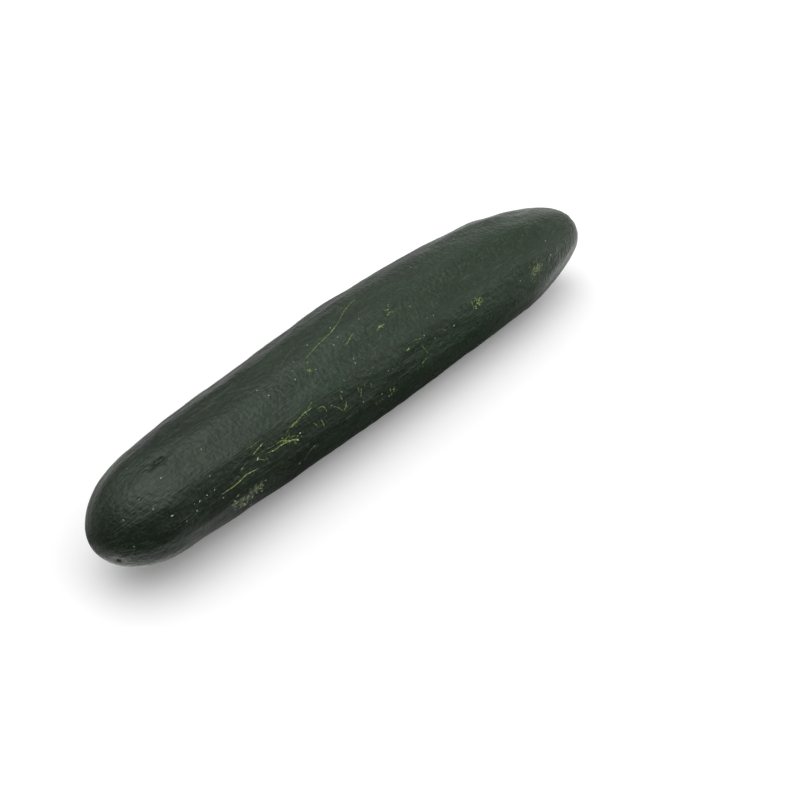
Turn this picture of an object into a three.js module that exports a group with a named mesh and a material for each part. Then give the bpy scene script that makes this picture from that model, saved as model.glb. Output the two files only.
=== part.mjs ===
// A whole dark green cucumber, lying on its belly: one solid, grown as one piece.
// Millimetres. +X runs towards the stem end and +Z is up. The origin is on the surface the fruit
// lies on, in the middle of its footprint. Its bow bends away from -Y, the side it shows best from.

import * as THREE from "three";

// Body
const LENGTH = 245;
const HALF_GIRTH = 22.6;
const STEM_SWELL = 0.05;
const END_SLIMNESS = 0.265;
const BLOSSOM_END = { reach: 27, taper: 2.3, bluntness: 1.95 };
const STEM_END = { reach: 45, taper: 1.25, bluntness: 3.6 };
const BOW = 4.1;
const BOW_SKEW = 0.9;
const STEM_DROOP = 0.9;

// Section: three seed lobes, and the low ribs that carried the spines
const LOBES = 3;
const LOBE_HEIGHT = 0.3;
const LOBE_TURN = 38;
const RIBS = 10;
const RIB_HEIGHT = 0.2;
const RIB_TURN = 18;
const RIB_WANDER = 0.45;
const RIB_WANDER_LENGTH = 172;

// Long low lumps between the ribs
const LUMP_WAVES = 9;
const LUMP_HEIGHT = 0.045;
const LUMP_FEWEST_ROUND = 4;
const LUMP_LONGEST = 74;
const LUMP_LENGTH_STEP = 5.5;
const GOLDEN_RATIO = 0.618034;

// Share of the full girth from which ribs and lumps stand at their full height
const RELIEF_FULL_FROM = 0.8;

// A slight waist across the back, and a fuller cheek under the blossom end
const WAIST = { share: -0.032, at: 78, reach: 26, turn: -48 };
const CHEEK = { share: 0.085, at: 5, reach: 16, turn: 128 };

// Pucker in the skin near the blossom end
const PUCKER_DEPTH = 0.6;
const PUCKER_AT = 27.5;
const PUCKER_TURN = 11;
const PUCKER_HALF_LENGTH = 3.4;
const PUCKER_HALF_WIDTH = 2.2;

// Scars at the two ends
const STEM_SCAR_RADIUS = 6.5;
const STEM_SCAR_DEPTH = 1;
const BLOSSOM_SCAR_AT = 3.2;
const BLOSSOM_SCAR_TURN = 118;
const BLOSSOM_SCAR_RADIUS = 2.2;
const BLOSSOM_SCAR_DEPTH = 0.5;
const HEART_DEPTH = 14;

// How far the belly is pressed flat where it rests
const BELLY_FLAT = 0.3;

// Mesh
const RINGS = 62;
const POINTS_ROUND = 76;

const radians = THREE.MathUtils.degToRad;
const TURN = 2 * Math.PI;

// 0 at a tip and 1 once the rounded end has reached its full girth
function roundedEnd(distance, end) {
  const short = Math.max(1 - distance / end.reach, 0);
  return (1 - short ** end.taper) ** (1 / end.bluntness);
}

// Radius of the plain body at a distance along it from the blossom tip
function girth(along) {
  const way = (2 * along) / LENGTH - 1;
  const body = HALF_GIRTH * (1 + STEM_SWELL * way - END_SLIMNESS * way ** 2);
  return body * roundedEnd(along, BLOSSOM_END) * roundedEnd(LENGTH - along, STEM_END);
}

// Middle of the section at a distance along the body
function heart(along) {
  const way = (2 * along) / LENGTH - 1;
  const bow = (BOW + BOW_SKEW * way) * (1 - way ** 2);
  const droop = STEM_DROOP * Math.max(way, 0) ** 3;
  return new THREE.Vector3(along - LENGTH / 2, bow, HALF_GIRTH - droop);
}

// Angles go round the body from straight up, through -Y, in radians. A difference of two, in -PI to PI
function angleBetween(a, b) {
  return Math.atan2(Math.sin(a - b), Math.cos(a - b));
}

function lobes(angle) {
  return LOBE_HEIGHT * Math.cos(LOBES * (angle - radians(LOBE_TURN)));
}

function ribs(along, angle) {
  const wander = RIB_WANDER * Math.sin((TURN * along) / RIB_WANDER_LENGTH);
  return RIB_HEIGHT * Math.cos(RIBS * (angle - radians(RIB_TURN)) + wander);
}

// Waves that run slantwise, each a different way round and along, so that they meet as uneven lumps
function lumps(along, angle) {
  let height = 0;
  for (let wave = 0; wave < LUMP_WAVES; wave += 1) {
    const round = LUMP_FEWEST_ROUND + wave;
    const length = LUMP_LONGEST - LUMP_LENGTH_STEP * wave;
    const slant = wave % 2 === 0 ? 1 : -1;
    const start = TURN * ((wave * GOLDEN_RATIO) % 1);
    height += LUMP_HEIGHT * Math.sin(round * angle + (slant * TURN * along) / length + start);
  }
  return height;
}

// How much thicker, as a share of the girth, the body is on one side of it near one place
function swell(along, angle, place) {
  const facing = Math.cos(angleBetween(angle, radians(place.turn)) / 2) ** 2;
  return place.share * facing * Math.exp(-(((along - place.at) / place.reach) ** 2));
}

function pucker(along, angle) {
  const ahead = (along - PUCKER_AT) / PUCKER_HALF_LENGTH;
  const arc = HALF_GIRTH * angleBetween(angle, radians(PUCKER_TURN));
  const aside = arc / PUCKER_HALF_WIDTH + 0.5 * ahead ** 2;
  return -PUCKER_DEPTH * Math.exp(-(ahead ** 2) - aside ** 2);
}

// The relief fades out towards the two tips, where the section closes
function skinRadius(along, angle) {
  const plain = girth(along);
  const uneven = 1 + swell(along, angle, WAIST) + swell(along, angle, CHEEK);
  const fade = Math.min(plain / (RELIEF_FULL_FROM * HALF_GIRTH), 1) ** 3;
  const relief = lobes(angle) + ribs(along, angle) + lumps(along, angle);
  return plain * uneven + fade * relief + pucker(along, angle);
}

// The skin before its scars: the heart line, and the radius turned round it
function plainSkin(along, angle) {
  const radius = skinRadius(along, angle);
  const out = new THREE.Vector3(0, -Math.sin(angle), Math.cos(angle));
  return heart(along).addScaledVector(out, radius);
}

// The stem scar: a dished face that takes the point off the stem end
function stemScar(along, angle) {
  if (along < LENGTH / 2) {
    return 0;
  }
  const rim = Math.min(skinRadius(along, angle) / STEM_SCAR_RADIUS, 1);
  return STEM_SCAR_DEPTH * (1 - rim ** 2) ** 2;
}

// The blossom scar: a small pit just off the blossom tip, sunk towards the heart of that end
const blossomScar = plainSkin(BLOSSOM_SCAR_AT, radians(BLOSSOM_SCAR_TURN));
const blossomHeart = heart(HEART_DEPTH);

function skin(along, angle) {
  const point = plainSkin(along, angle);
  point.x -= stemScar(along, angle);
  const reach = point.distanceTo(blossomScar) / BLOSSOM_SCAR_RADIUS;
  const inward = new THREE.Vector3().subVectors(blossomHeart, point).normalize();
  point.addScaledVector(inward, BLOSSOM_SCAR_DEPTH * Math.exp(-(reach ** 2)));
  point.z = Math.max(point.z, BELLY_FLAT);
  return point;
}

// Rings of points from tip to tip, closer together where the ends round off, closed by a point at each tip
function skinGeometry() {
  const positions = [];
  for (let ring = 1; ring <= RINGS; ring += 1) {
    const along = (LENGTH / 2) * (1 - Math.cos((Math.PI * ring) / (RINGS + 1)));
    for (let step = 0; step < POINTS_ROUND; step += 1) {
      positions.push(...skin(along, (TURN * step) / POINTS_ROUND).toArray());
    }
  }
  const blossomTip = RINGS * POINTS_ROUND;
  const stemTip = blossomTip + 1;
  positions.push(...skin(0, 0).toArray(), ...skin(LENGTH, 0).toArray());

  const faces = [];
  const lastRing = (RINGS - 1) * POINTS_ROUND;
  for (let step = 0; step < POINTS_ROUND; step += 1) {
    const next = (step + 1) % POINTS_ROUND;
    faces.push(blossomTip, next, step);
    faces.push(stemTip, lastRing + step, lastRing + next);
    for (let start = 0; start < lastRing; start += POINTS_ROUND) {
      const ahead = start + POINTS_ROUND;
      faces.push(start + step, ahead + next, ahead + step);
      faces.push(start + step, start + next, ahead + next);
    }
  }

  const geometry = new THREE.BufferGeometry();
  geometry.setAttribute("position", new THREE.Float32BufferAttribute(positions, 3));
  geometry.setIndex(faces);
  geometry.computeBoundingBox();
  const box = geometry.boundingBox;
  const middle = box.getCenter(new THREE.Vector3());
  geometry.translate(-middle.x, -middle.y, -box.min.z);
  geometry.computeVertexNormals();
  return geometry;
}

const darkWaxySkin = new THREE.MeshStandardMaterial({ color: 0x27332a, roughness: 0.42, metalness: 0 });

const cucumber = new THREE.Mesh(skinGeometry(), darkWaxySkin);
cucumber.name = "cucumber";

const group = new THREE.Group();
group.add(cucumber);

export default group;
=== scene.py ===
"""A whole dark green cucumber on a pale floor: waxy skin, healed scratches, spine scars and end scars."""

import bpy
import numpy as np
from mathutils import Matrix, Vector


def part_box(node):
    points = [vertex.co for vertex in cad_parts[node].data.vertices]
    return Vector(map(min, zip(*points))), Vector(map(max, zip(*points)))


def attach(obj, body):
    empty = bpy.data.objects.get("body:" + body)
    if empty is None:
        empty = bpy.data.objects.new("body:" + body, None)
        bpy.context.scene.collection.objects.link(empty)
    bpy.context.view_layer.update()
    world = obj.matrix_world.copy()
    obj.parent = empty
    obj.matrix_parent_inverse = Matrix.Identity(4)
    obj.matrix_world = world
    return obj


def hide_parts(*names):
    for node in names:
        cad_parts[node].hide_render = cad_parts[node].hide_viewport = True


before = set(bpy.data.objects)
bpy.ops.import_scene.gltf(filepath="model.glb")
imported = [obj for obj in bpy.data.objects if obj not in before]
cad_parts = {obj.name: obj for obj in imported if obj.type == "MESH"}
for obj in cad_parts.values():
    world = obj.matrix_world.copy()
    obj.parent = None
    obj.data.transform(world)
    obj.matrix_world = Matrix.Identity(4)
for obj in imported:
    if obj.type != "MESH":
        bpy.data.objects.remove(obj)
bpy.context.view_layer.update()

# The form is worked out in millimetres and put into the meshes in metres
TURN = 2 * np.pi

# Body, as the CAD solid has it
LENGTH = 245.0
HALF_GIRTH = 22.6
STEM_SWELL = 0.05
END_SLIMNESS = 0.265
BLOSSOM_END = {"reach": 27.0, "taper": 2.3, "bluntness": 1.95}
STEM_END = {"reach": 45.0, "taper": 1.25, "bluntness": 3.6}
BOW = 4.1
BOW_SKEW = 0.9
STEM_DROOP = 0.9
LOBES = 3
LOBE_HEIGHT = 0.3
LOBE_TURN = 38
RIBS = 10
RIB_HEIGHT = 0.2
RIB_TURN = 18
RIB_WANDER = 0.45
RIB_WANDER_LENGTH = 172.0
LUMP_WAVES = 9
LUMP_HEIGHT = 0.045
LUMP_FEWEST_ROUND = 4
LUMP_LONGEST = 74.0
LUMP_LENGTH_STEP = 5.5
GOLDEN_RATIO = 0.618034
RELIEF_FULL_FROM = 0.8
WAIST = {"share": -0.032, "at": 78.0, "reach": 26.0, "turn": -48}
CHEEK = {"share": 0.085, "at": 5.0, "reach": 16.0, "turn": 128}
PUCKER = {"depth": 0.6, "at": 27.5, "turn": 11, "half_length": 3.4, "half_width": 2.2, "bend": 0.5}
STEM_SCAR_RADIUS = 6.5
STEM_SCAR_DEPTH = 1.0
BLOSSOM_SCAR = {"at": 3.2, "turn": 118, "radius": 2.2, "depth": 0.5, "heart": 14.0}
BELLY_FLAT = 0.3

# Fine relief that only the finished skin has: (mm along a cell, mm across it, height in mm, seed)
DIMPLES = [(14.0, 6.0, 0.11, 3), (6.5, 2.9, 0.13, 5), (22.0, 2.4, 0.10, 6), (3.6, 1.7, 0.08, 8)]

# Grooves and ridges drawn one by one: depth in mm, which is below 0 for a ridge, half width in mm, and
# places as (mm along, degrees round)
GROOVES = [
    (1.10, 0.72, [(26.0, 7.6), (27.2, 7.4), (28.4, 9.0)]),
    (0.60, 1.15, [(23.4, 11.0), (25.4, 9.4)]),
    (-0.14, 2.50, [(27, 46), (48, 48.5), (76, 50.5)]),
    (0.16, 1.50, [(74, 38), (86, 36), (99, 37.5), (113, 35), (127, 38), (144, 36.5)]),
    (0.10, 1.10, [(88, 45), (99, 43), (111, 45.5), (124, 43)]),
    (0.10, 0.45, [(98, 33), (101.5, 36), (103.5, 41)]),
    (0.09, 0.90, [(150, 20), (164, 23), (181, 21)]),
]

# Cells on each side of the noise's lattice, after which it repeats
NOISE_SIDE = 48

# Finished skin mesh
SKIN_RINGS = 390
SKIN_ROUND = 240

# Half the step over which the slope of the skin is taken, in mm
NORMAL_STEP = 0.15

# Small pleats that gather the skin round the stem scar, uneven by a few waves round it
PLEATS = 15
PLEAT_WAVES = 3
PLEAT_HEIGHT = 0.12
PLEAT_RADIUS = 7.0
PLEAT_REACH = 2.8


def rounded_end(distance, reach, taper, bluntness):
    """0 at a tip and 1 past its reach: (1 - (1 - distance / reach) ^ taper) ^ (1 / bluntness)."""
    short = np.maximum(1 - distance / reach, 0)
    return np.maximum(1 - short ** taper, 0) ** (1 / bluntness)


def girth(along):
    """Radius of the plain body: a slight swell and a parabola over its length, times two rounded ends."""
    way = 2 * along / LENGTH - 1
    body = HALF_GIRTH * (1 + STEM_SWELL * way - END_SLIMNESS * way ** 2)
    return body * rounded_end(along, **BLOSSOM_END) * rounded_end(LENGTH - along, **STEM_END)


def heart(along):
    """Middle of the section: along X, bowed sideways by a parabola, drooping by a cube at the stem end."""
    way = 2 * along / LENGTH - 1
    bow = (BOW + BOW_SKEW * way) * (1 - way ** 2)
    droop = STEM_DROOP * np.maximum(way, 0) ** 3
    return np.stack([along - LENGTH / 2, bow, HALF_GIRTH - droop], -1)


def angle_between(a, b):
    """Difference of two angles, brought to -pi to pi."""
    return np.arctan2(np.sin(a - b), np.cos(a - b))


def relief(along, angle):
    """Three lobes, ten wandering ribs, and slantwise waves that meet as uneven lumps: a sum of cosines."""
    height = LOBE_HEIGHT * np.cos(LOBES * (angle - np.radians(LOBE_TURN)))
    wander = RIB_WANDER * np.sin(TURN * along / RIB_WANDER_LENGTH)
    height = height + RIB_HEIGHT * np.cos(RIBS * (angle - np.radians(RIB_TURN)) + wander)
    for wave in range(LUMP_WAVES):
        length = LUMP_LONGEST - LUMP_LENGTH_STEP * wave
        slant = 1 if wave % 2 == 0 else -1
        start = TURN * (wave * GOLDEN_RATIO % 1)
        around = (LUMP_FEWEST_ROUND + wave) * angle
        height = height + LUMP_HEIGHT * np.sin(around + slant * TURN * along / length + start)
    return height


def swell(along, angle, share, at, reach, turn):
    """Share of the girth added near one place: a bell along, and the squared cosine of half the turn."""
    facing = np.cos(angle_between(angle, np.radians(turn)) / 2) ** 2
    return share * facing * np.exp(-((along - at) / reach) ** 2)


def pucker(along, angle):
    """The small curved dent: a bell both ways, its middle line bent by the square of the distance along."""
    ahead = (along - PUCKER["at"]) / PUCKER["half_length"]
    arc = HALF_GIRTH * angle_between(angle, np.radians(PUCKER["turn"]))
    aside = arc / PUCKER["half_width"] + PUCKER["bend"] * ahead ** 2
    return -PUCKER["depth"] * np.exp(-ahead ** 2 - aside ** 2)


def groove(along, angle, depth, half_width, places):
    """Minus the depth times a bell of the distance from the nearest drawn segment on the unrolled skin."""
    nearest = np.full(np.broadcast(along, angle).shape, np.inf)
    corners = np.array(places, float)
    corners[:, 1] = HALF_GIRTH * np.radians(corners[:, 1])
    arc = HALF_GIRTH * angle_between(angle, 0)
    for (start_x, start_y), (end_x, end_y) in zip(corners[:-1], corners[1:]):
        run_x, run_y = end_x - start_x, end_y - start_y
        share = ((along - start_x) * run_x + (arc - start_y) * run_y) / (run_x ** 2 + run_y ** 2)
        share = np.clip(share, 0, 1)
        off_x, off_y = along - start_x - share * run_x, arc - start_y - share * run_y
        nearest = np.minimum(nearest, np.hypot(off_x, off_y))
    return -depth * np.exp(-(nearest / half_width) ** 2)


def smooth_noise(points, cells, seed):
    """Seeded heights on a lattice of the given cells, the eight nearest blended by a smooth step."""
    table = np.random.default_rng(seed).uniform(-1, 1, (NOISE_SIDE, NOISE_SIDE, NOISE_SIDE))
    place = points / np.array(cells) + NOISE_SIDE
    corner = np.floor(place).astype(int)
    part = place - corner
    part = part * part * (3 - 2 * part)
    total = np.zeros(points.shape[:-1])
    for step in np.ndindex(2, 2, 2):
        index = (corner + step) % NOISE_SIDE
        share = np.prod(np.where(np.array(step) == 1, part, 1 - part), -1)
        total += share * table[index[..., 0], index[..., 1], index[..., 2]]
    return total


def round_heart(along, angle, radius):
    """The point at a radius from the heart line, turned from straight up through -Y."""
    centre = heart(along)
    across = centre[..., 1] - radius * np.sin(angle)
    up = centre[..., 2] + radius * np.cos(angle)
    return np.stack([centre[..., 0], across, up], -1)


def plain_skin(along, angle):
    """The skin before its scars and fine relief, and how much of the relief it keeps there."""
    plain = girth(along)
    uneven = 1 + swell(along, angle, **WAIST) + swell(along, angle, **CHEEK)
    fade = np.minimum(plain / (RELIEF_FULL_FROM * HALF_GIRTH), 1) ** 3
    radius = plain * uneven + fade * relief(along, angle) + pucker(along, angle)
    return round_heart(along, angle, radius), radius, fade


def skin(along, angle):
    """The finished skin: fine noise added to the radius, the end scars sunk in and the belly cut flat."""
    point, radius, fade = plain_skin(along, angle)
    for cell_along, cell_across, height, seed in DIMPLES:
        radius = radius + height * fade * smooth_noise(point, (cell_along, cell_across, cell_across), seed)
    for depth, half_width, places in GROOVES:
        radius = radius + groove(along, angle, depth, half_width, places)
    pleat = PLEAT_HEIGHT * np.exp(-((radius - PLEAT_RADIUS) / PLEAT_REACH) ** 2)
    folds = np.cos(PLEATS * angle + np.sin(PLEAT_WAVES * angle))
    radius = radius + np.where(along > LENGTH / 2, pleat, 0) * folds
    point = round_heart(along, angle, radius)
    rim = np.minimum(radius / STEM_SCAR_RADIUS, 1)
    point[..., 0] -= np.where(along > LENGTH / 2, STEM_SCAR_DEPTH * (1 - rim ** 2) ** 2, 0)
    scar = BLOSSOM_SCAR
    centre = plain_skin(np.array(scar["at"]), np.radians(scar["turn"]))[0]
    inward = heart(np.array(scar["heart"])) - point
    inward /= np.linalg.norm(inward, axis=-1, keepdims=True)
    reach = np.linalg.norm(point - centre, axis=-1, keepdims=True) / scar["radius"]
    point = point + inward * scar["depth"] * np.exp(-reach ** 2)
    point[..., 2] = np.maximum(point[..., 2], BELLY_FLAT)
    return point


def skin_grid():
    """Distances and angles of the finished skin's points: rings packed towards the tips as a cosine."""
    steps = np.arange(1, SKIN_RINGS + 1) / (SKIN_RINGS + 1)
    along = LENGTH / 2 * (1 - np.cos(np.pi * steps))
    angle = TURN * np.arange(SKIN_ROUND) / SKIN_ROUND
    return np.meshgrid(along, angle, indexing="ij")


# The fine skin is set inside the CAD solid's own box by its middle, its foot and one scale for all axes
skin_along, skin_angle = skin_grid()
skin_points = skin(skin_along, skin_angle)
form_low = skin_points.reshape(-1, 3).min(0)
form_high = skin_points.reshape(-1, 3).max(0)
node_low, node_high = (np.array(corner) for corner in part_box("cucumber"))
fit_scale = np.min((node_high - node_low) / (form_high - form_low))
form_foot = np.append((form_low + form_high)[:2] / 2, form_low[2])
frame_foot = np.append((node_low + node_high)[:2] / 2, node_low[2])


def in_frame(points):
    """Points of the form, in millimetres, as places in the part's frame, in metres."""
    return (points - form_foot) * fit_scale + frame_foot


def skin_frames(along, angle):
    """Points on the skin with their unit normals, from differences of the skin formula either side."""
    turn = NORMAL_STEP / HALF_GIRTH
    ahead = skin(along + NORMAL_STEP, angle) - skin(along - NORMAL_STEP, angle)
    aside = skin(along, angle + turn) - skin(along, angle - turn)
    normal = np.cross(aside, ahead)
    normal /= np.linalg.norm(normal, axis=-1, keepdims=True)
    return skin(along, angle), normal


def make_piece(name, points, faces, material, attributes=None):
    """A smooth mesh of points in metres, riding on the fruit, with a number or a vector at each point."""
    mesh = bpy.data.meshes.new(name)
    mesh.from_pydata(points.tolist(), [], faces)
    mesh.polygons.foreach_set("use_smooth", np.ones(len(mesh.polygons), bool))
    for key, values in (attributes or {}).items():
        kind, field = ("FLOAT", "value") if values.ndim == 1 else ("FLOAT_VECTOR", "vector")
        mesh.attributes.new(key, kind, "POINT").data.foreach_set(field, values.ravel().astype(np.float32))
    mesh.materials.append(material)
    mesh.update()
    piece = bpy.data.objects.new(name, mesh)
    bpy.context.scene.collection.objects.link(piece)
    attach(piece, "root")
    return piece


def tube_faces(rings, around, first=0):
    """Faces of rings of points that close round, with a point before them and one after them as tips."""
    step = np.arange(around)
    after = (step + 1) % around
    start = first + around * np.arange(rings - 1)[:, None]
    quads = np.stack([start + step, start + after, start + around + after, start + around + step], -1)
    head = first + rings * around
    last = first + (rings - 1) * around
    heads = np.stack([np.full(around, head), first + after, first + step], -1)
    tails = np.stack([np.full(around, head + 1), last + step, last + after], -1)
    return quads.reshape(-1, 4).tolist() + heads.tolist() + tails.tolist()


# Materials


class Nodes:
    """The node tree of a new material, by its name, or of a world, with short calls to build it up."""

    def __init__(self, owner):
        self.owner = bpy.data.materials.new(owner) if isinstance(owner, str) else owner
        self.owner.use_nodes = True
        self.tree = self.owner.node_tree
        self.shader = self.tree.nodes.get("Principled BSDF")

    def add(self, kind, **values):
        """A new node, with its sockets' values and its settings given by name."""
        node = self.tree.nodes.new(kind)
        for key, value in values.items():
            if key in node.inputs:
                node.inputs[key].default_value = value
            else:
                setattr(node, key, value)
        return node

    def link(self, source, target):
        """A link from an output to an input."""
        self.tree.links.new(source, target)

    def noise(self, vector, scale, detail=3.0, roughness=0.55):
        """Noise from 0 to 1 at a place. The scale is in cells to a unit of the place, times its stretch."""
        node = self.add("ShaderNodeTexNoise", Scale=scale, Detail=detail, Roughness=roughness)
        self.link(vector, node.inputs["Vector"])
        return node.outputs["Fac"]

    def spread(self, value, low, high, to_low=0.0, to_high=1.0):
        """The value from low to high, brought to another range by a smooth step."""
        node = self.add("ShaderNodeMapRange", interpolation_type="SMOOTHSTEP")
        for key, number in (("From Min", low), ("From Max", high), ("To Min", to_low), ("To Max", to_high)):
            node.inputs[key].default_value = number
        self.link(value, node.inputs["Value"])
        return node.outputs["Result"]

    def sum_up(self, operation, *values):
        """One step of arithmetic on outputs and numbers."""
        node = self.add("ShaderNodeMath", operation=operation)
        for socket, value in zip(node.inputs, values):
            if isinstance(value, float):
                socket.default_value = value
            else:
                self.link(value, socket)
        return node.outputs[0]

    def mix(self, share, first, second):
        """A share of the second colour in the first."""
        node = self.add("ShaderNodeMix", data_type="RGBA")
        for socket, value in ((node.inputs[0], share), (node.inputs[6], first), (node.inputs[7], second)):
            if isinstance(value, (tuple, float)):
                socket.default_value = (*value, 1) if isinstance(value, tuple) else value
            else:
                self.link(value, socket)
        return node.outputs[2]


WAX_GREEN = (0.0100, 0.0215, 0.0095)
DEEP_GREEN = (0.0068, 0.0110, 0.0064)
LEAF_GREEN = (0.0098, 0.0250, 0.0086)
STREAK_PALE = (0.036, 0.052, 0.036)
CORK_DULL = (0.034, 0.050, 0.022)
CORK_FRESH = (0.20, 0.29, 0.035)
CORK_WORN = (0.30, 0.34, 0.22)
CORK_BRIGHT = (0.56, 0.62, 0.38)
# End scar colours. The dark one is painted shade in the scars' grooves and pits, and also their flecks. The
# pale one is a painted highlight on their ridges.
STEM_DARK = (0.085, 0.085, 0.040)
STEM_PALE = (0.27, 0.27, 0.14)
BUTTON_DARK = (0.010, 0.013, 0.009)
BUTTON_PALE = (0.040, 0.048, 0.032)
SPECK_DULL = (0.05, 0.065, 0.045)
SPECK_PALE = (0.62, 0.68, 0.56)

# Scales of a place, below 1 along the fruit to draw a pattern out: long ones on places in m, and hairs on
# the unrolled skin in mm
LONG_STRETCH = (0.3, 1, 1)
HAIR_STRETCH = (0.11, 1, 1)

# Shares of the deep green by the blossom end and of the leaf green by the stem end: (start and end along X
# in m, share at the start, share at the end)
BLOSSOM_SHARE = (-0.085, -0.02, 0.75, 0.0)
STEM_SHARE = (-0.07, 0.10, 0.0, 0.62)


def waxy_skin():
    """Dark green skin: mottling, streaks along the fruit, grain and hairs, and a wax of uneven gloss."""
    nodes = Nodes("waxy_skin")
    place = nodes.add("ShaderNodeTexCoord").outputs["Object"]
    stretch = nodes.add("ShaderNodeMapping")
    stretch.inputs["Scale"].default_value = LONG_STRETCH
    nodes.link(place, stretch.inputs["Vector"])
    long_way = stretch.outputs["Vector"]
    unroll = nodes.add("ShaderNodeMapping")
    unroll.inputs["Scale"].default_value = HAIR_STRETCH
    unrolled = nodes.add("ShaderNodeAttribute", attribute_name="unrolled").outputs["Vector"]
    nodes.link(unrolled, unroll.inputs["Vector"])
    hair_way = unroll.outputs["Vector"]

    mottle = nodes.spread(nodes.noise(long_way, 210.0, 5.0, 0.6), 0.36, 0.64)
    apart = nodes.add("ShaderNodeSeparateXYZ")
    nodes.link(place, apart.inputs[0])
    blossom_side = nodes.spread(apart.outputs["X"], *BLOSSOM_SHARE)
    colour = nodes.mix(blossom_side, WAX_GREEN, DEEP_GREEN)
    colour = nodes.mix(mottle, DEEP_GREEN, colour)
    stem_side = nodes.spread(apart.outputs["X"], *STEM_SHARE)
    colour = nodes.mix(stem_side, colour, LEAF_GREEN)
    streaks = nodes.spread(nodes.noise(long_way, 420.0, 4.0), 0.50, 0.78, 0.0, 0.45)
    colour = nodes.mix(streaks, colour, LEAF_GREEN)
    grains = nodes.noise(place, 950.0, 3.0, 0.6)
    colour = nodes.mix(nodes.spread(grains, 0.52, 0.72, 0.0, 0.45), colour, STREAK_PALE)
    hairs = nodes.noise(hair_way, 1.5, 2.0, 0.5)
    colour = nodes.mix(nodes.spread(hairs, 0.56, 0.74, 0.0, 0.75), colour, STREAK_PALE)
    nodes.link(colour, nodes.shader.inputs["Base Color"])

    gloss = nodes.spread(nodes.noise(long_way, 160.0, 4.0), 0.3, 0.7, 0.22, 0.36)
    nodes.link(gloss, nodes.shader.inputs["Roughness"])
    nodes.shader.inputs["IOR"].default_value = 1.45
    nodes.shader.inputs["Specular Tint"].default_value = (0.85, 1, 0.86, 1)

    height = nodes.sum_up("MULTIPLY_ADD", hairs, 0.6, nodes.noise(place, 620.0, 1.5, 0.5))
    relief_bump = nodes.add("ShaderNodeBump", Strength=1.0, Distance=0.00036)
    nodes.link(height, relief_bump.inputs["Height"])
    nodes.link(relief_bump.outputs["Normal"], nodes.shader.inputs["Normal"])
    return nodes.owner


def healed_cork():
    """Dry cork: from dull olive to fresh green, or grey where worn, then to pale by its tone, flecked."""
    nodes = Nodes("healed_cork")
    tone = nodes.add("ShaderNodeAttribute", attribute_name="tone").outputs["Fac"]
    wear = nodes.add("ShaderNodeAttribute", attribute_name="wear").outputs["Fac"]
    place = nodes.add("ShaderNodeTexCoord").outputs["Object"]
    body = nodes.mix(wear, CORK_FRESH, CORK_WORN)
    colour = nodes.mix(nodes.spread(tone, 0.05, 0.55), CORK_DULL, body)
    colour = nodes.mix(nodes.spread(tone, 0.55, 1.05), colour, CORK_BRIGHT)
    flecks = nodes.spread(nodes.noise(place, 2600.0, 2.0), 0.35, 0.7, 0.0, 0.5)
    colour = nodes.mix(flecks, colour, CORK_DULL)
    nodes.link(colour, nodes.shader.inputs["Base Color"])
    nodes.shader.inputs["Roughness"].default_value = 0.62
    nodes.shader.inputs["Specular IOR Level"].default_value = 0.35
    return nodes.owner


def pale_speck():
    """The dry scar that a spine leaves: from a dull green to nearly white by each scar's own tone."""
    nodes = Nodes("pale_speck")
    place = nodes.add("ShaderNodeTexCoord").outputs["Object"]
    tone = nodes.add("ShaderNodeAttribute", attribute_name="tone").outputs["Fac"]
    flecks = nodes.spread(nodes.noise(place, 1800.0, 2.0), 0.3, 0.7, 0.0, 0.5)
    colour = nodes.mix(tone, SPECK_DULL, SPECK_PALE)
    nodes.link(nodes.mix(flecks, colour, SPECK_DULL), nodes.shader.inputs["Base Color"])
    nodes.shader.inputs["Roughness"].default_value = 0.6
    return nodes.owner


def dry_fibre_painted_shade(name, dark, pale):
    """Dry fibre with fine flecks, and painted shade: dark in its grooves and pale on its ridges by each
    point's tone.
    """
    nodes = Nodes(name)
    tone = nodes.add("ShaderNodeAttribute", attribute_name="tone").outputs["Fac"]
    place = nodes.add("ShaderNodeTexCoord").outputs["Object"]
    colour = nodes.mix(tone, dark, pale)
    flecks = nodes.spread(nodes.noise(place, 1500.0, 4.0), 0.4, 0.7, 0.0, 0.6)
    nodes.link(nodes.mix(flecks, colour, dark), nodes.shader.inputs["Base Color"])
    nodes.shader.inputs["Roughness"].default_value = 0.8
    grain = nodes.add("ShaderNodeBump", Strength=0.4, Distance=0.0002)
    nodes.link(nodes.noise(place, 2500.0, 3.0), grain.inputs["Height"])
    nodes.link(grain.outputs["Normal"], nodes.shader.inputs["Normal"])
    return nodes.owner


# The skin itself


def cucumber_skin():
    """The whole skin: a closed grid of rings and two tips, each point with its place on a plain tube."""
    tips = skin(np.array([0.0, LENGTH]), np.zeros(2))
    points = np.concatenate([skin_points.reshape(-1, 3), tips])
    round_y, round_z = HALF_GIRTH * np.cos(skin_angle), HALF_GIRTH * np.sin(skin_angle)
    unrolled = np.stack([skin_along, round_y, round_z], -1).reshape(-1, 3)
    unrolled = np.concatenate([unrolled, [(0, 0, 0), (LENGTH, 0, 0)]])
    faces = tube_faces(SKIN_RINGS, SKIN_ROUND)
    places = {"unrolled": unrolled}
    piece = make_piece("cucumber_skin", in_frame(points), faces, waxy_skin(), places)
    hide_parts("cucumber")


cucumber_skin()
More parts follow.
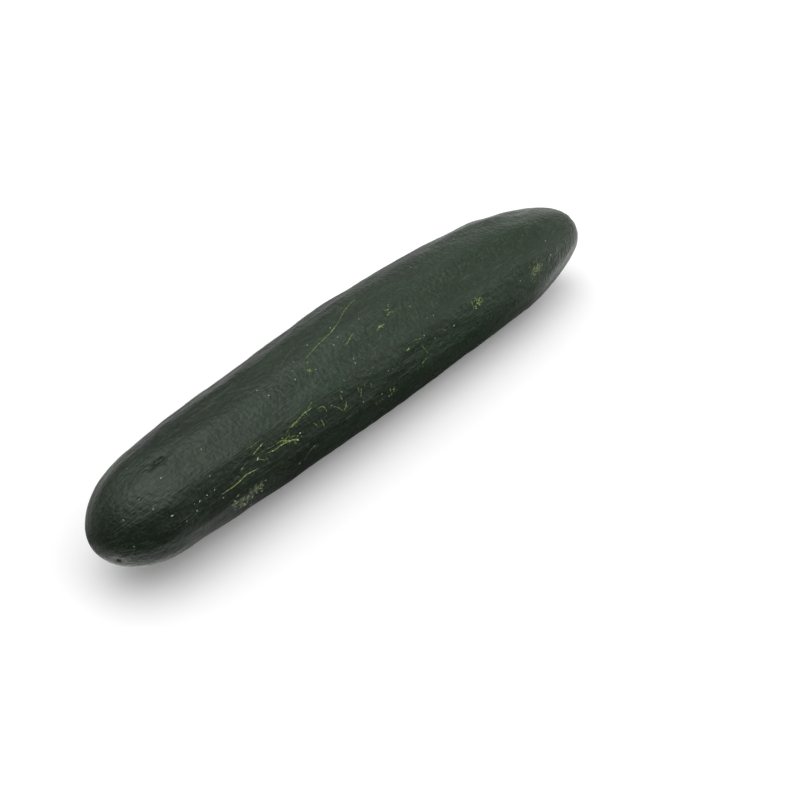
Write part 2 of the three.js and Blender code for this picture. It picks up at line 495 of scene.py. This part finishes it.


# Healed scratches

# Scratches drawn one by one: breadth in mm, brightness from 0 to 1, and places as (mm along, degrees round)
SCRATCHES = [
    (0.50, 0.90, [(37.4, 75), (42.5, 75), (45, 74), (48, 72), (51, 73), (53, 74)]),
    (0.28, 0.14, [(41, 63), (45, 59.5), (49.5, 57)]),
    (0.32, 0.40, [(51, 51), (54.5, 52), (57, 51)]),
    (0.40, 0.75, [(52.5, 59.5), (55, 57.5), (58, 55.5)]),
    (0.60, 0.85, [(56, 57), (58, 55.2)]),
    (0.34, 0.40, [(47.5, 64.5), (49, 62.8), (51, 61.8)]),
    (0.75, 0.55, [(46.9, 65), (48.3, 64)]),
    (0.34, 0.35, [(53.5, 61), (57, 62), (61, 63.5), (64.5, 63)]),
    (0.62, 0.95, [(57.5, 66), (61, 68), (63.5, 67.5), (66, 68.5), (68.5, 70.5), (71, 72.5)]),
    (0.80, 0.95, [(68, 69.5), (70, 72), (71.5, 76)]),
    (0.55, 0.80, [(62.3, 64), (64, 63.5), (65.5, 66), (67.5, 69)]),
    (0.45, 0.70, [(64.5, 67.5), (66.2, 65), (68, 64)]),
    (0.40, 0.60, [(66.5, 68), (69, 67), (70.8, 68.5)]),
    (0.36, 0.60, [(69.2, 73), (70, 78)]),
    (0.34, 0.40, [(54.2, 66), (55.5, 69), (56.5, 71)]),
    (0.34, 0.35, [(55.5, 71.5), (57, 70), (58, 72.5)]),
    (0.34, 0.30, [(43.5, 70.5), (45, 68), (46, 71)]),
    (0.36, 0.40, [(67, 60.5), (69, 58), (71, 57.5)]),
    (0.60, 0.90, [(69.5, 59), (71.2, 57), (72.8, 58)]),
    (0.42, 0.70, [(71.5, 57.5), (74, 56), (76.5, 54.5)]),
    (0.55, 0.85, [(75.5, 54.5), (78, 55.2), (79.8, 54.8)]),
    (0.36, 0.50, [(78, 54), (79.6, 52), (81, 50.5)]),
    (0.34, 0.60, [(71, 58.5), (71.8, 62)]),
    (0.42, 0.72, [(81.5, 58.5), (83.8, 59.5), (84.8, 63), (84.8, 67.5)]),
    (0.34, 0.70, [(78.3, 68), (79.2, 71), (79.8, 75)]),
    (0.36, 0.75, [(81.6, 68), (82, 73), (82.4, 79)]),
    (0.30, 0.30, [(83.5, 73), (83.8, 77)]),
    (0.32, 0.55, [(88, 66), (89.8, 70), (91.5, 76.5)]),
    (0.40, 0.82, [(91.5, 76.5), (93, 73), (93.8, 68.5)]),
    (0.36, 0.78, [(92, 60), (92.3, 66)]),
    (0.42, 0.82, [(93, 71), (93.3, 75.5)]),
    (0.34, 0.65, [(99.8, 63.5), (100, 69)]),
    (0.42, 0.80, [(101.2, 66), (100.8, 70), (100.2, 75)]),
    (0.38, 0.72, [(102.5, 65), (103.2, 67)]),
    (0.40, 0.58, [(105.8, 68), (105.6, 72.5)]),
    (0.30, 0.25, [(97.5, 68), (98.2, 72)]),
    (0.30, 0.30, [(117.5, 65), (118.5, 69)]),
    (0.30, 0.28, [(120, 67), (120.8, 70)]),
    (0.34, 0.40, [(71.5, 102), (73, 97), (75, 92.5), (77.5, 90.5)]),
    (0.34, 0.30, [(76.5, 95), (79, 91.5)]),
    (0.36, 0.65, [(89, 16), (93, 14), (97.5, 11.5), (101.5, 10), (105, 8.5), (109, 5), (113, 0.5)]),
    (0.46, 0.85, [(103.5, 9.5), (106, 7.5), (109.5, 4.5)]),
    (0.34, 0.60, [(112, 1.5), (116, -4), (119.5, -7), (124.5, -9.5)]),
    (0.24, 0.45, [(81, 6.5), (84, 3), (88, -1), (93, -3.5)]),
    (0.24, 0.25, [(99, -8), (101.5, -9.5)]),
    (0.24, 0.20, [(110, -14), (112.5, -15)]),
    (0.42, 0.60, [(105, 27.5), (107.5, 24.5), (110.5, 22)]),
    (0.42, 0.95, [(118.4, 32.5), (120.5, 30.5), (122.8, 31.5)]),
    (0.36, 0.90, [(119.8, 28.6), (120.8, 31), (121.6, 33.2)]),
    (0.44, 0.75, [(87, 27.8), (88.2, 26.8)]),
    (0.30, 0.45, [(87.4, 25.6), (88.2, 29)]),
    (0.38, 0.75, [(126, 27), (128, 24.5), (129.2, 26.8)]),
    (0.36, 0.85, [(126.6, 21), (128.6, 22.3)]),
    (0.40, 0.85, [(129, 20), (130, 17.8)]),
    (0.24, 0.25, [(135.5, 2.5), (140.5, -1)]),
    (0.26, 0.18, [(134, 27), (137.5, 31)]),
    (0.34, 0.50, [(129, 57), (131.5, 59), (134.5, 61)]),
    (0.78, 1.00, [(124.8, 62), (126.6, 61.6)]),
    (0.34, 0.65, [(132.4, 66), (134, 72), (135, 78)]),
    (0.38, 0.65, [(131, 84), (133, 81.5), (135, 82)]),
    (0.30, 0.30, [(144, 64), (146, 69)]),
    (0.28, 0.22, [(153, 69), (158, 69), (162.5, 66)]),
]

# Patches of short broken scratches: (mm along, degrees round), half length, half width, count, brightness,
# size of stroke, seed
CRACKLES = [
    ((46.3, 102.5), 5.0, 4.6, 66, 1.18, 1.05, 11),
    ((51.5, 97.0), 4.2, 3.2, 44, 1.05, 1.05, 12),
    ((42.0, 96.2), 1.2, 2.4, 10, 1.35, 1.4, 13),
    ((70.0, 72.5), 2.6, 1.8, 12, 0.75, 1.0, 14),
    ((165.0, 62.6), 3.8, 1.8, 44, 1.20, 1.0, 15),
    ((171.0, 65.5), 1.6, 1.2, 5, 0.45, 1.0, 16),
    ((201.7, 70.0), 3.8, 3.0, 64, 1.10, 1.0, 17),
    ((208.0, 73.0), 3.0, 2.4, 10, 0.30, 1.0, 18),
    ((115.5, 92.0), 2.0, 2.0, 12, 0.90, 1.0, 19),
    ((108.5, 91.0), 3.6, 1.6, 7, 0.40, 1.0, 20),
    ((101.5, 33.5), 2.2, 2.0, 6, 0.20, 1.0, 21),
    ((111.0, 58.0), 8.0, 3.0, 14, 0.28, 1.0, 22),
    ((60.0, 96.0), 8.0, 2.6, 9, 0.25, 1.0, 23),
    ((145.0, 66.5), 4.0, 2.2, 7, 0.30, 1.0, 24),
    ((191.0, 72.0), 6.0, 3.0, 9, 0.18, 1.0, 25),
    ((153.0, 60.0), 8.0, 4.0, 9, 0.14, 1.0, 26),
    ((66.0, 65.5), 4.0, 1.6, 9, 0.45, 1.0, 27),
    ((75.0, 57.0), 4.0, 1.2, 6, 0.50, 1.0, 28),
    ((87.4, 27.2), 1.5, 1.3, 10, 0.85, 0.8, 29),
]

# The most worn, greyest scratches are round one place, (mm along, degrees round), within a reach in mm. The
# rest have the least wear
MOST_WORN = (49.5, 101.0)
WORN_REACH = 8.5
LEAST_WEAR = 0.12

# Ridges of cork, in mm: their height, how deep their edges, tips and roots lie in the skin, the step along
# them, and how far a drawn one wanders
CORK_HEIGHT = 0.07
CORK_SUNK = 0.02
CORK_TIP_SUNK = 0.05
CORK_ROOT = 0.15
CORK_STEP = 0.3
CORK_FEWEST_STEPS = 4
CORK_WANDER = 0.045

# Places of a ridge's points across it, the part of its path that they cover, and how slowly its ends thin
CORK_SECTION = np.array([-1.0, -0.55, 0.0, 0.55, 1.0])
CORK_SPAN = (0.04, 0.96)
CORK_THINNING = 0.55

# A ridge's tone: it rises and falls in beads of a length in mm, and its edges lose a share of it
CORK_BEAD = {"length": 1.7, "middle": 0.78, "swing": 0.34}
CORK_EDGE_LOSS = 0.55

# Ranges of the seeded shares of a ridge's breadth and tone, and of a crackled stroke's length, bend,
# breadth and tone, and how wide a patch's bell is as a share of its half size
CORK_BREADTHS = (0.55, 1.25)
CORK_TONES = (0.6, 1.2)
STROKE_LENGTHS = (0.35, 1.3)
STROKE_BENDS = (-0.6, 0.6)
STROKE_BREADTHS = (0.3, 0.6)
STROKE_TONES = (0.4, 1.1)
STROKE_BELL = 0.5


def drawn_path(places, rng):
    """Even steps along the drawn corners, rounded by a running mean, with a slight seeded wander."""
    corners = np.array(places, float)
    corners[:, 1] = HALF_GIRTH * np.radians(corners[:, 1])
    reach = np.append(0, np.cumsum(np.hypot(*np.diff(corners, axis=0).T)))
    count = max(int(reach[-1] / CORK_STEP), CORK_FEWEST_STEPS)
    share = np.linspace(0, reach[-1], count)
    path = np.stack([np.interp(share, reach, corners[:, axis]) for axis in (0, 1)], -1)
    wide = np.pad(path, ((2, 2), (0, 0)), mode="reflect", reflect_type="odd")
    path = (wide[:-4] + wide[1:-3] + wide[2:-2] + wide[3:-1] + wide[4:]) / 5
    return path + rng.normal(0, CORK_WANDER, path.shape)


def cork_ribbon(path, breadth, tone, rng):
    """A low closed ridge: a parabola across its path, times a power of a half sine along it, and tips."""
    points, normals = skin_frames(path[:, 0], path[:, 1] / HALF_GIRTH)
    ahead = np.gradient(points, axis=0)
    aside = np.cross(ahead, normals)
    aside /= np.linalg.norm(aside, axis=-1, keepdims=True)
    share = np.linspace(*CORK_SPAN, len(path))
    swell_out = np.sin(np.pi * share) ** CORK_THINNING * rng.uniform(*CORK_BREADTHS, len(path))
    half = (breadth / 2 * swell_out)[:, None, None]
    height = CORK_HEIGHT * (1 - CORK_SECTION ** 2)[None, :, None] * swell_out[:, None, None] - CORK_SUNK
    top = points[:, None] + half * CORK_SECTION[None, :, None] * aside[:, None] + height * normals[:, None]
    root = (points - CORK_ROOT * normals)[:, None]
    rings = np.concatenate([top, root], 1)
    outward = np.stack([points[0] - points[1], points[-1] - points[-2]])
    ends = np.stack([points[0], points[-1]]) + outward / 2 - CORK_TIP_SUNK * normals[[0, -1]]
    run = share * len(path) * CORK_STEP
    swing = np.sin(TURN * run / CORK_BEAD["length"] + rng.uniform(0, TURN))
    beads = CORK_BEAD["middle"] + CORK_BEAD["swing"] * swing
    beads = beads * rng.uniform(*CORK_TONES, len(path))
    tones = tone * beads[:, None] * (1 - CORK_EDGE_LOSS * np.append(CORK_SECTION, 1) ** 2)
    off = np.hypot(path[:, 0] - MOST_WORN[0], path[:, 1] - HALF_GIRTH * np.radians(MOST_WORN[1]))
    wears = np.repeat(np.maximum(np.exp(-(off / WORN_REACH) ** 2), LEAST_WEAR), rings.shape[1])
    return rings, ends, np.append(tones.ravel(), [tone / 2, tone / 2]), np.append(wears, wears[[0, -1]])


def crackle_paths(centre, half_length, half_width, count, size, rng):
    """Short strokes thrown about a centre as a bell, each in its own direction and bent by a square."""
    middle = np.array([centre[0], HALF_GIRTH * np.radians(centre[1])])
    places = middle + rng.normal(0, STROKE_BELL, (count, 2)) * (half_length, half_width)
    lean = rng.uniform(0, np.pi, count)
    lengths = size * rng.uniform(*STROKE_LENGTHS, count)
    for place, turned, length in zip(places, lean, lengths):
        steps = max(int(length / CORK_STEP) + 2, CORK_FEWEST_STEPS)
        share = np.linspace(-0.5, 0.5, steps)[:, None]
        bend = rng.uniform(*STROKE_BENDS) * share ** 2
        way = np.array([np.cos(turned), np.sin(turned)])
        yield place + length * (share * way + bend * way[::-1] * (-1, 1))


def cork_scratches():
    """All the healed scratches and crackled patches, as low ridges in one mesh."""
    ribbons = []
    rng = np.random.default_rng(7)
    for breadth, tone, places in SCRATCHES:
        ribbons.append(cork_ribbon(drawn_path(places, rng), breadth, tone, rng))
    for centre, half_length, half_width, count, tone, size, seed in CRACKLES:
        rng = np.random.default_rng(seed)
        for path in crackle_paths(centre, half_length, half_width, count, size, rng):
            breadth = size * rng.uniform(*STROKE_BREADTHS)
            ribbons.append(cork_ribbon(path, breadth, tone * rng.uniform(*STROKE_TONES), rng))
    points, tones, wears, faces, first = [], [], [], [], 0
    for rings, ends, ring_tones, ring_wears in ribbons:
        points += [rings.reshape(-1, 3), ends]
        tones.append(ring_tones)
        wears.append(ring_wears)
        faces += tube_faces(len(rings), rings.shape[1], first)
        first += rings.shape[0] * rings.shape[1] + 2
    places = in_frame(np.concatenate(points))
    finish = {"tone": np.clip(np.concatenate(tones), 0, 1), "wear": np.concatenate(wears)}
    make_piece("cork_scratches", places, faces, healed_cork(), finish)


cork_scratches()


# Spine scars

# Scars that the main view shows: (mm along, degrees round, tone from 0, dull, to 1, pale)
SEEN_SPECKS = [
    (19, -10, 0.35), (23.5, 26, 0.80), (14.5, 29, 0.45), (8, 36, 0.30), (7, 77, 0.40), (20, 63, 0.90),
    (16, 46, 0.50), (39.5, 27, 0.35), (68, 13, 1.00), (69.5, 24, 1.00), (28, 74, 0.50), (28, 66, 0.30),
    (30, 67, 0.60), (33, 66, 0.60), (36, 66, 0.90), (23.5, 77, 0.25), (36.5, 52, 0.45), (38, 79, 0.90),
    (94.5, 5, 0.50), (81, 26, 0.40), (82.5, 18, 0.40), (85.5, 11, 0.40), (102.5, 17, 0.35),
    (104.5, 17, 0.70), (116.5, 14, 0.70), (104, 41, 0.50), (103.5, 45, 0.40), (139.5, 48, 0.70),
    (142.5, 49, 0.40), (152.5, -5, 0.40), (183, -18, 0.50), (167, 24, 0.35), (203.5, 29, 0.40),
    (213, 47, 1.00), (212.5, 65, 1.00), (212, 81, 0.40), (100.5, 80, 0.60), (29.6, 15, 0.20),
    (95.5, 106, 0.30), (140, 69, 0.40), (150.5, 69, 0.70), (110, 92, 0.30), (76.5, 91, 0.40),
    (72.2, 69, 0.90), (70, 101, 0.60), (54, 65.5, 0.80), (191, 70, 0.60), (199.3, 97, 0.60),
    (145.5, 67.5, 0.50), (179.5, -12, 0.50), (106.4, 3.5, 0.60), (101.1, 21, 0.45), (88.9, 20, 0.40),
    (89.6, 29.5, 0.50), (93.1, 59, 0.40), (87.4, 64, 0.45), (106.4, 90.5, 0.55), (109.6, 85.5, 0.40),
    (113.4, 94, 0.50), (114.1, 87.5, 0.90), (106.6, 60, 0.50), (108.6, 57, 0.40), (114.6, 68, 0.50),
    (116.6, 69, 0.35), (95.9, 51.5, 0.25), (134.9, 59.5, 0.60), (136.4, 30.5, 0.35), (119.4, 74.5, 0.30),
]

# Seeded scars: how many are drawn, from where to where along the fruit in mm, their scatter off a rib in
# degrees, and their tones. Those within the degrees that the main view shows are left out again
HIDDEN_SPECKS = 90
HIDDEN_SPAN = (8, LENGTH - 12)
HIDDEN_OFF_RIB = 5
HIDDEN_TONES = (0.1, 0.95)
HIDDEN_TONE_CURVE = 1.5
SEEN_TURNS = (-25, 118)

# A scar, in mm: its radius, height and how deep its rim is sunk. Its shoulder is a share of the radius and
# of the height. Its size, its ragged rim and its stretch are seeded in ranges
SPECK_ROUND = 8
SPECK_RADIUS = 0.22
SPECK_HEIGHT = 0.08
SPECK_SUNK = 0.03
SPECK_SHOULDER = {"reach": 0.6, "rise": 0.75}
SPECK_SIZES = (0.7, 1.2)
SPECK_RAGGED = (0.8, 1.2)
SPECK_STRETCHES = (1.0, 2.6)

# A slanted direction, from which each scar's own east is worked out
SPECK_GUIDE = (0, 0.3, 1.0)


def speck_places():
    """The seen scars, and seeded ones on the sides that the main view doesn't show, kept on the ribs."""
    rng = np.random.default_rng(21)
    along = rng.uniform(*HIDDEN_SPAN, HIDDEN_SPECKS)
    rib = rng.integers(0, RIBS, HIDDEN_SPECKS)
    turn = RIB_TURN + 360 / RIBS * rib + rng.normal(0, HIDDEN_OFF_RIB, HIDDEN_SPECKS)
    turn = (turn + 180) % 360 - 180
    tone = rng.uniform(*HIDDEN_TONES, HIDDEN_SPECKS) ** HIDDEN_TONE_CURVE
    hidden = (turn < SEEN_TURNS[0]) | (turn > SEEN_TURNS[1])
    return np.concatenate([np.array(SEEN_SPECKS, float), np.stack([along, turn, tone], -1)[hidden]])


def spine_scars():
    """Small low domes, each an oval shoulder and a sunk rim from the cosine and sine, a top and a root."""
    places = speck_places()
    count = len(places)
    rng = np.random.default_rng(22)
    along, angle = places[:, 0], np.radians(places[:, 1])
    points, normals = skin_frames(along, angle)
    east = np.cross(normals, SPECK_GUIDE)
    east /= np.linalg.norm(east, axis=-1, keepdims=True)
    north = np.cross(normals, east)
    turn = TURN * np.arange(SPECK_ROUND) / SPECK_ROUND
    size = SPECK_RADIUS * rng.uniform(*SPECK_SIZES, (count, 1, 1))
    ragged = rng.uniform(*SPECK_RAGGED, (count, SPECK_ROUND, 1))
    lean = rng.uniform(0, np.pi, (count, 1))
    longer = rng.uniform(*SPECK_STRETCHES, (count, 1))
    long_side, short_side = np.cos(turn) * longer, np.sin(turn)
    eastward = (long_side * np.cos(lean) - short_side * np.sin(lean))[..., None]
    northward = (long_side * np.sin(lean) + short_side * np.cos(lean))[..., None]
    ray = eastward * east[:, None] - northward * north[:, None]
    spread = size * ragged * ray
    rim = points[:, None] + spread - SPECK_SUNK * normals[:, None]
    shoulder = points[:, None] + SPECK_SHOULDER["reach"] * spread
    shoulder = shoulder + SPECK_SHOULDER["rise"] * SPECK_HEIGHT * normals[:, None]
    top = (points + SPECK_HEIGHT * normals)[:, None]
    root = (points - CORK_ROOT * normals)[:, None]
    block = np.concatenate([shoulder, rim, top, root], 1)
    tone = np.repeat(places[:, 2], block.shape[1])
    faces = []
    for index in range(count):
        faces += tube_faces(2, SPECK_ROUND, index * block.shape[1])
    dots = in_frame(block.reshape(-1, 3))
    make_piece("spine_scars", dots, faces, pale_speck(), {"tone": tone})


spine_scars()


# Scars at the two ends

# Radius, and heights in mm of the middle over the skin, the cup, its raised rim, the pith's pit and the
# fibres, then the count of fibres, and seed
STEM_CAP = {
    "radius": 4.4, "lift": 0.13, "cup": 0.62, "rim": 0.20, "pit": 0.40, "fibre": 0.09,
    "fibres": 23, "seed": 31,
}
BLOSSOM_CAP = {
    "radius": 0.85, "lift": 0.14, "cup": -0.05, "rim": 0.05, "pit": 0.12, "fibre": 0.03,
    "fibres": 9, "seed": 32,
}
CAP_RINGS = 26
CAP_ROUND = 96

# As shares of a cap's radius: its innermost ring, the raised rim and half its width, the pit, and from
# where its edge turns down. How far under the skin it turns, in mm, and how far a foot goes below that
CAP_CORE = 0.04
CAP_RIM = {"at": 0.80, "half_width": 0.09}
CAP_PIT = 0.24
CAP_EDGE = 0.9
CAP_SUNK = 0.5
CAP_FOOT = 0.5

# How uneven a cap is: waves round it in a seeded range, which bend its outline and its rim, and fibres that
# lean with them, curl and grow outwards, with a seeded roughness
CAP_WAVES = (1, 2, 3, 5)
CAP_WAVE_HEIGHTS = (0.3, 1)
CAP_OUTLINE_BEND = 0.035
CAP_RIM_BEND = 0.25
FIBRE_LEAN = 1.3
FIBRE_CURL = 2.0
FIBRE_GROWTH = 0.7
FIBRE_ROUGHNESS = 0.45


def end_scar(name, centre, axis, material, slot, radius, lift, cup, rim, pit, fibre, fibres, seed):
    """A dry cap: a cup by the radius squared, plus a bell for its rim, less one for its pit, plus fibres."""
    rng = np.random.default_rng(seed)
    share = np.linspace(CAP_CORE, 1, CAP_RINGS)[:, None]
    turn = -TURN * np.arange(CAP_ROUND)[None] / CAP_ROUND
    east = np.cross(axis, (0, 1.0, 0))
    east /= np.linalg.norm(east)
    north = np.cross(axis, east)
    wander = 0
    for wave in CAP_WAVES:
        wander = wander + rng.uniform(*CAP_WAVE_HEIGHTS) * np.sin(wave * turn + rng.uniform(0, TURN))
    outline = 1 + CAP_OUTLINE_BEND * wander
    ridges = np.cos(fibres * turn + FIBRE_LEAN * wander + FIBRE_CURL * share) * share ** FIBRE_GROWTH
    bank = np.exp(-((share - CAP_RIM["at"]) / CAP_RIM["half_width"]) ** 2) * (1 + CAP_RIM_BEND * wander)
    bowl = lift + cup * share ** 2
    height = bowl + rim * bank - pit * np.exp(-(share / CAP_PIT) ** 2) + fibre * ridges
    height = height + fibre * rng.normal(0, FIBRE_ROUGHNESS, height.shape)
    height = height - (CAP_SUNK + lift) * np.maximum((share - CAP_EDGE) / (1 - CAP_EDGE), 0) ** 2
    # Painted shade and highlight: the tone follows the height over the cup, dark in the grooves, the pit and
    # the sunk edge, pale on the fibres and the raised rim
    tone = np.clip(0.5 + (height - bowl) / (2 * (rim + fibre)), 0, 1)
    spread = radius * share * outline
    ray = np.cos(turn)[..., None] * east + np.sin(turn)[..., None] * north
    top = centre + spread[..., None] * ray + height[..., None] * axis
    foot = top[-1:] - CAP_FOOT * axis
    ends = np.stack([centre + (lift - pit) * axis, centre - (CAP_FOOT + pit) * axis])
    points = np.concatenate([top.reshape(-1, 3), foot.reshape(-1, 3), ends])
    tones = np.concatenate([tone.ravel(), tone[-1], [0, 0]])
    faces = tube_faces(CAP_RINGS + 1, CAP_ROUND)
    make_piece(name, in_frame(points), faces, material, {"tone": tones})


def stem_scar():
    """Where the stem came off: a fibrous disc in the dish that takes the point off the stem end."""
    tip = skin(np.array([LENGTH]), np.zeros(1))[0]
    finish = dry_fibre_painted_shade("dry_stem_painted_shade", STEM_DARK, STEM_PALE)
    end_scar("stem_scar", tip, np.array([1.0, 0, 0]), finish, "stem_scar", **STEM_CAP)


def blossom_scar():
    """Where the flower came off: a small corky button in its pit."""
    along, angle = np.array([BLOSSOM_SCAR["at"]]), np.radians([BLOSSOM_SCAR["turn"]])
    centre, axis = skin_frames(along, angle)
    finish = dry_fibre_painted_shade("dry_blossom_painted_shade", BUTTON_DARK, BUTTON_PALE)
    end_scar("blossom_scar", centre[0], axis[0], finish, "cork_scar", **BLOSSOM_CAP)


stem_scar()
blossom_scar()


# Floor, light and camera


FLOOR_WHITE = (0.93, 0.93, 0.93, 1)
FLOOR_GLOW = 0.10
FLOOR_REACH = 6.0

# Brightness of the floor as the wax mirrors it: one level NEAR the fruit, and what is added in FRONT of it
# and BEHIND it, the front's times the share for the STEM_SIDE. Each of these three is (start and end on its
# axis in m, value at the start, value at the end). The POOLS are added too: (place and radius in m, level)
MIRRORED_NEAR = 0.05
MIRRORED_FRONT = (-0.03, -0.14, 0.0, 0.50)
MIRRORED_BEHIND = (0.022, 0.055, 0.0, 0.42)
MIRRORED_STEM_SIDE = (-0.11, 0.03, 0.1, 1.0)
MIRRORED_POOLS = [
    ((-0.095, 0.055, 0), 0.038, 0.24),
    ((-0.118, -0.006, 0), 0.020, 1.20),
    ((-0.084, -0.030, 0), 0.023, 0.30),
    ((0.152, -0.005, 0), 0.045, 1.10),
    ((0.230, 0.045, 0), 0.080, 0.75),
]


def pale_floor():
    """A plain white floor. A mirrored ray sees its level instead: near, front, behind and pools, summed."""
    mesh = bpy.data.meshes.new("floor")
    reach = FLOOR_REACH
    corners = [(-reach, -reach, 0), (reach, -reach, 0), (reach, reach, 0), (-reach, reach, 0)]
    mesh.from_pydata(corners, [], [(0, 1, 2, 3)])
    floor = bpy.data.objects.new("floor", mesh)
    bpy.context.scene.collection.objects.link(floor)
    nodes = Nodes("white_floor")
    nodes.shader.inputs["Base Color"].default_value = FLOOR_WHITE
    nodes.shader.inputs["Emission Color"].default_value = (1, 1, 1, 1)
    nodes.shader.inputs["Emission Strength"].default_value = FLOOR_GLOW
    nodes.shader.inputs["Roughness"].default_value = 1.0
    nodes.shader.inputs["Specular IOR Level"].default_value = 0.0

    place = nodes.add("ShaderNodeTexCoord").outputs["Object"]
    apart = nodes.add("ShaderNodeSeparateXYZ")
    nodes.link(place, apart.inputs[0])
    behind = nodes.spread(apart.outputs["Y"], *MIRRORED_BEHIND)
    in_front = nodes.spread(apart.outputs["Y"], *MIRRORED_FRONT)
    stem_side = nodes.spread(apart.outputs["X"], *MIRRORED_STEM_SIDE)
    level = nodes.sum_up("MULTIPLY_ADD", in_front, stem_side, nodes.sum_up("ADD", behind, MIRRORED_NEAR))
    for centre, radius, share in MIRRORED_POOLS:
        away = nodes.add("ShaderNodeVectorMath", operation="DISTANCE")
        away.inputs[1].default_value = centre
        nodes.link(place, away.inputs[0])
        steep = nodes.sum_up("POWER", nodes.sum_up("DIVIDE", away.outputs["Value"], radius), 2.0)
        pool = nodes.sum_up("EXPONENT", nodes.sum_up("MULTIPLY", steep, -1.0))
        level = nodes.sum_up("MULTIPLY_ADD", pool, share, level)
    mirrored = nodes.add("ShaderNodeEmission")
    nodes.link(level, mirrored.inputs["Strength"])
    either = nodes.add("ShaderNodeMixShader")
    nodes.link(nodes.add("ShaderNodeLightPath").outputs["Is Glossy Ray"], either.inputs[0])
    nodes.link(nodes.shader.outputs[0], either.inputs[1])
    nodes.link(mirrored.outputs[0], either.inputs[2])
    nodes.link(either.outputs[0], nodes.tree.nodes["Material Output"].inputs["Surface"])
    mesh.materials.append(nodes.owner)


# Soft lights: (compass from +Y towards +X and rise, in degrees, level, tightness)
SOFT_LIGHTS = [
    (-10, 85, 2.60, 4.3),
    (130, 5, 1.40, 13.0),
    (61, 2, 0.90, 15.0),
    (86, 8, 0.19, 16.0),
    (-12, 14, 0.11, 6.0),
    (160, 45, 1.30, 15.0),
]
BACKDROP_LEVEL = 1.0


def soft_tent():
    """Light from all round: each light is its level times exp(tightness * (cosine to it - 1)), summed."""
    world = bpy.data.worlds.new("soft_tent")
    bpy.context.scene.world = world
    nodes = Nodes(world)
    place = nodes.add("ShaderNodeTexCoord").outputs["Generated"]
    total = 0.0
    for compass, rise, level, tightness in SOFT_LIGHTS:
        compass, rise = np.radians(compass), np.radians(rise)
        facing = nodes.add("ShaderNodeVectorMath", operation="DOT_PRODUCT")
        toward = (np.sin(compass) * np.cos(rise), np.cos(compass) * np.cos(rise), np.sin(rise))
        facing.inputs[1].default_value = toward
        nodes.link(place, facing.inputs[0])
        power = nodes.sum_up("MULTIPLY_ADD", facing.outputs["Value"], tightness, -tightness)
        total = nodes.sum_up("MULTIPLY_ADD", nodes.sum_up("EXPONENT", power), level, total)
    seen = nodes.add("ShaderNodeLightPath").outputs["Is Camera Ray"]
    unseen = nodes.sum_up("MULTIPLY", total, nodes.sum_up("SUBTRACT", 1.0, seen))
    shown = nodes.sum_up("MULTIPLY_ADD", seen, BACKDROP_LEVEL, unseen)
    background = nodes.tree.nodes["Background"]
    background.inputs["Color"].default_value = (1, 1, 1, 1)
    nodes.link(shown, background.inputs["Strength"])


# The camera: which way it looks, from +Y towards +X, and how steeply down, in degrees, how far it stands
# from what it aims at and where that is, and its near limit, in m, and its lens and sensor in mm
CAMERA_COMPASS = 48.5
CAMERA_RISE = 40.0
CAMERA_DISTANCE = 0.4165
CAMERA_AIM = (0.0006, -0.0192, 0.0112)
CAMERA_NEAREST = 0.01
CAMERA_LENS = 52.0
CAMERA_SENSOR = 36.0


def main_camera():
    """The camera looks down on the fruit from its -X, -Y side."""
    compass, rise = np.radians(CAMERA_COMPASS), np.radians(CAMERA_RISE)
    ahead = Vector((np.sin(compass) * np.cos(rise), np.cos(compass) * np.cos(rise), -np.sin(rise)))
    right = Vector((np.cos(compass), -np.sin(compass), 0))
    up = right.cross(ahead)
    camera = bpy.data.objects.new("camera", bpy.data.cameras.new("camera"))
    bpy.context.scene.collection.objects.link(camera)
    turned = Matrix((right, up, -ahead)).transposed().to_4x4()
    camera.matrix_world = Matrix.Translation(Vector(CAMERA_AIM) - ahead * CAMERA_DISTANCE) @ turned
    camera.data.lens = CAMERA_LENS
    camera.data.sensor_width = CAMERA_SENSOR
    camera.data.clip_start = CAMERA_NEAREST
    bpy.context.scene.camera = camera


pale_floor()
soft_tent()
main_camera()
bpy.context.scene.view_settings.view_transform = "Standard"
